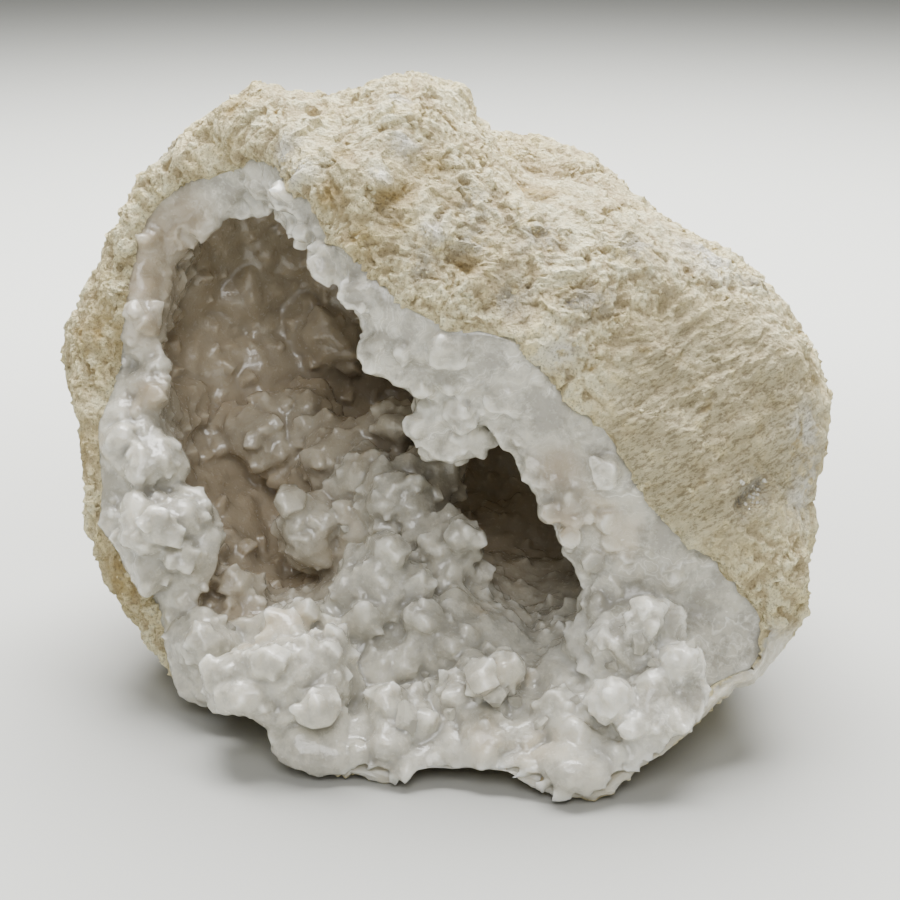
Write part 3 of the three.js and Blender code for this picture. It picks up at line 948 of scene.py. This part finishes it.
# Creases between crystals are painted grey and ridges white: painted shade in the creases and
# painted highlight on the edges.
colour = blended((0 - ridge).between(0.02, 0.4) * (1 - band) * 0.85, colour, clear_grey)
colour = blended(ridge.between(0.1, 0.7) * 0.6, colour, frost_white)
colour = blended(band * (1 - band) * 2, colour, frost_white)
colour = blended(frost.between(0.55, 0.75) * 0.3, colour, milk)
colour = blended(deep * 0.92, colour, shadow_brown)
colour = blended(attribute(start, "dusk") * 0.85, colour, shadow_brown)
bump = start.node("ShaderNodeBump", {}, {
    "Strength": 0.5, "Distance": 0.25 * mm, "Height": frost + sparkle * 0.4 + feather * band * 0.9})
feed(tree, shader, {
    "Base Color": colour, "Roughness": 0.1 + frost * 0.28, "Normal": bump, "IOR": 1.54,
    "Coat Weight": 0.5, "Coat Roughness": 0.06,
    "Subsurface Weight": 0.95, "Subsurface Scale": 2.6 * mm, "Subsurface Radius": (1, 0.93, 0.82)})

crust.data.materials.append(quartz)
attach(crust, "root")
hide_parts("quartz_crust")


# Clear pointed crystals stand out of the druse on the sill and catch the light.
# Each has the column and row where its foot is seen and its radius in mm.
clear_points = (
    (408, 714, 2.3), (426, 688, 1.2), (494, 694, 2.2), (516, 700, 1.4), (540, 722, 1.2),
    (425, 674, 0.9), (450, 712, 1.3), (612, 665, 1.2), (640, 640, 1.3), (690, 645, 1.2),
    (655, 662, 1.3), (345, 528, 1.0), (232, 628, 0.9), (575, 700, 1.0),
)
# Small crystals line the pit low on the facet, by column, row, reach and count, with their
# radius in mm.
pit_points = ((752, 495, 14, 18),)
pit_sizes = (0.2, 0.45)
points_seed = 8

rng = random.Random(points_seed)
crust_now_tree = BVHTree.FromObject(crust, bpy.context.evaluated_depsgraph_get())
rind_now_tree = BVHTree.FromObject(rind, bpy.context.evaluated_depsgraph_get())
plants = []
for column, row, radius in clear_points:
    place, normal, _, _ = crust_now_tree.ray_cast(eye, sight(column, row))
    if place:
        stand = (normal + Vector((0, -0.1, 0.9))).normalized()
        size = radius * mm
        plants.append((
            rng.randrange(crystal_kinds), place - stand * size * 0.35, turned_to(stand, 0.3, rng),
            Vector((size, size * rng.uniform(0.8, 1), size * 1.15))))
for middle, level, reach, count in pit_points:
    for _ in range(count):
        column, row = rng.gauss(middle, reach * 0.5), rng.gauss(level, reach * 0.7)
        place, normal, _, _ = rind_now_tree.ray_cast(eye, sight(column, row))
        if place:
            size = rng.uniform(*pit_sizes) * mm
            plants.append((
                rng.randrange(crystal_kinds), place - normal * size * 0.5,
                turned_to(normal, 0.35, rng), Vector((size, size, size))))
glints = planted("quartz_points", [crystal(rng) for _ in range(crystal_kinds)], plants)

points, tree, shader, start, place = finish_named("quartz_points")
wisps = speckle(place, 3, 3, 0.6)
feed(tree, shader, {
    "Base Color": blended(wisps.between(0.42, 0.6), milk, clear_grey), "IOR": 1.54,
    "Roughness": 0.04 + wisps.between(0.4, 0.65) * 0.16, "Coat Weight": 0.6})

glints.data.materials.append(points)
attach(glints, "root")


# A pale table runs away under soft daylight from a wide window overhead.
table_radius = 3
near_painted_shade = (0.43, 0.432, 0.405, 1)
painted_light_pool = (0.565, 0.572, 0.535, 1)
far_painted_falloff = (0.31, 0.313, 0.29, 1)

bm = bmesh.new()
bmesh.ops.create_circle(bm, cap_ends=True, segments=64, radius=table_radius)
floor = piece_of("table", bm)
paper, tree, shader, start, place = finish_named("paper")
far = start.node("ShaderNodeVectorMath", {"operation": "LENGTH"}, {0: place}, 1)
# The table is painted darker close to the stone, brightest 5 to 25 cm out and greyer beyond:
# painted shade around the stone and a painted falloff of the window's light.
colour = blended(far.between(0.05, 0.25), near_painted_shade, painted_light_pool)
colour = blended(far.between(0.25, 1.2), colour, far_painted_falloff)
feed(tree, shader, {"Base Color": colour, "Roughness": 0.7})
floor.data.materials.append(paper)

world = bpy.data.worlds.new("room")
world.use_nodes = True
world.node_tree.nodes["Background"].inputs["Color"].default_value = (1, 0.99, 0.96, 1)
world.node_tree.nodes["Background"].inputs["Strength"].default_value = 0.24
bpy.context.scene.world = world

for name, place, size, power in (
    ("window", Vector((0.03, 0.30, 0.70)), 0.8, 32),
    ("front_bounce", Vector((0.0, -0.68, 0.64)), 0.5, 5.1),
):
    light = bpy.data.objects.new(name, bpy.data.lights.new(name, "AREA"))
    light.data.shape = "DISK"
    light.data.size = size
    light.data.energy = power
    light.location = place
    light.rotation_euler = (aim - place).to_track_quat("-Z", "Y").to_euler()
    bpy.context.scene.collection.objects.link(light)
